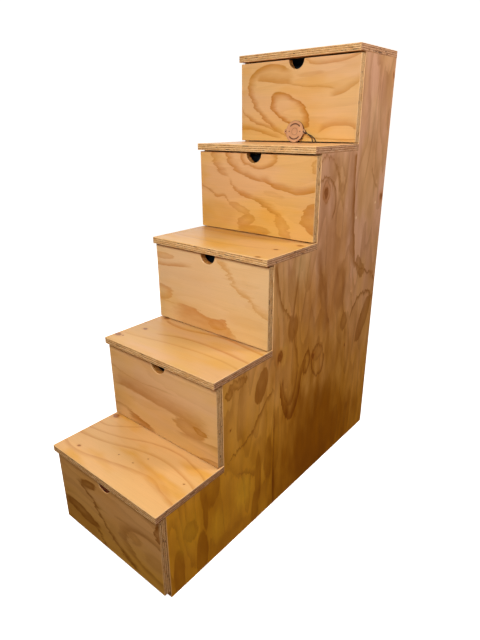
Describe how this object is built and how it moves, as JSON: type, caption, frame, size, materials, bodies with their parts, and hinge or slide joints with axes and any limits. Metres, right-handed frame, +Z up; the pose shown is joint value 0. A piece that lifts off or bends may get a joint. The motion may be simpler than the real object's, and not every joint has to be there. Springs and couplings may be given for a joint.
{
  "type": "storage stair with drawers",
  "caption": "Free-standing stepped plywood storage stair; every riser is the front of a drawer with a half-round finger notch.",
  "frame": {"origin": "middle of the footprint, on the floor", "axes": "+X across the stair to the right of a person climbing it, +Y from the lowest step to the back, +Z up"},
  "size_m": [0.4, 0.983, 1.223],
  "materials": {
    "side_plywood": "pine plywood, grain upright, clear satin oil",
    "tread_plywood": "pine plywood, grain across the stair, clear satin oil, bare laminated edges",
    "front_plywood": "pine plywood, bold figure across the stair, clear satin oil",
    "carcass_plywood": "plain pine plywood, lightly sanded, for the base and rails",
    "slate_plywood": "dark slate film-faced plywood with pale laminated edges, for the drawer boxes and the back panel",
    "hardwood": "waxed beech",
    "felt": "dark brown felt",
    "tag_wood": "thin wooden disc with burnt arcs",
    "waxed_cord": "dark brown waxed cotton cord",
    "brass": "plain brass plate"
  },
  "bodies": {
    "carcass": {"side_panel_left": "side_plywood", "side_panel_right": "side_plywood", "base_panel": "carcass_plywood", "back_panel": "slate_plywood", "tread_dowels": "hardwood", "felt_dots": "felt", "stop_blocks": "hardwood", "tread_1": "tread_plywood", "tread_rail_1": "carcass_plywood", "runner_left_1": "hardwood", "runner_right_1": "hardwood", "tread_2": "tread_plywood", "tread_rail_2": "carcass_plywood", "runner_left_2": "hardwood", "runner_right_2": "hardwood", "tread_3": "tread_plywood", "tread_rail_3": "carcass_plywood", "runner_left_3": "hardwood", "runner_right_3": "hardwood", "tread_4": "tread_plywood", "tread_rail_4": "carcass_plywood", "runner_left_4": "hardwood", "runner_right_4": "hardwood", "tread_5": "tread_plywood", "runner_left_5": "hardwood", "runner_right_5": "hardwood"},
    "drawer_1": {"drawer_front_1": "front_plywood", "box_front_1": "slate_plywood", "box_back_1": "slate_plywood", "box_left_1": "slate_plywood", "box_right_1": "slate_plywood", "box_bottom_1": "slate_plywood"},
    "drawer_2": {"drawer_front_2": "front_plywood", "box_front_2": "slate_plywood", "box_back_2": "slate_plywood", "box_left_2": "slate_plywood", "box_right_2": "slate_plywood", "box_bottom_2": "slate_plywood"},
    "drawer_3": {"drawer_front_3": "front_plywood", "box_front_3": "slate_plywood", "box_back_3": "slate_plywood", "box_left_3": "slate_plywood", "box_right_3": "slate_plywood", "box_bottom_3": "slate_plywood"},
    "drawer_4": {"drawer_front_4": "front_plywood", "box_front_4": "slate_plywood", "box_back_4": "slate_plywood", "box_left_4": "slate_plywood", "box_right_4": "slate_plywood", "box_bottom_4": "slate_plywood"},
    "drawer_5": {"drawer_front_5": "front_plywood", "box_front_5": "slate_plywood", "box_back_5": "slate_plywood", "box_left_5": "slate_plywood", "box_right_5": "slate_plywood", "box_bottom_5": "slate_plywood", "swing_tag": "tag_wood", "tag_cord": "waxed_cord", "cord_anchor": "brass"}
  },
  "joints": [
    {"name": "drawer_1_slide", "type": "slide", "parent": "carcass", "child": "drawer_1", "axis": [0, -1, 0], "range_m": [0, 0.7]},
    {"name": "drawer_2_slide", "type": "slide", "parent": "carcass", "child": "drawer_2", "axis": [0, -1, 0], "range_m": [0, 0.553]},
    {"name": "drawer_3_slide", "type": "slide", "parent": "carcass", "child": "drawer_3", "axis": [0, -1, 0], "range_m": [0, 0.406]},
    {"name": "drawer_4_slide", "type": "slide", "parent": "carcass", "child": "drawer_4", "axis": [0, -1, 0], "range_m": [0, 0.259]},
    {"name": "drawer_5_slide", "type": "slide", "parent": "carcass", "child": "drawer_5", "axis": [0, -1, 0], "range_m": [0, 0.112]}
  ]
}
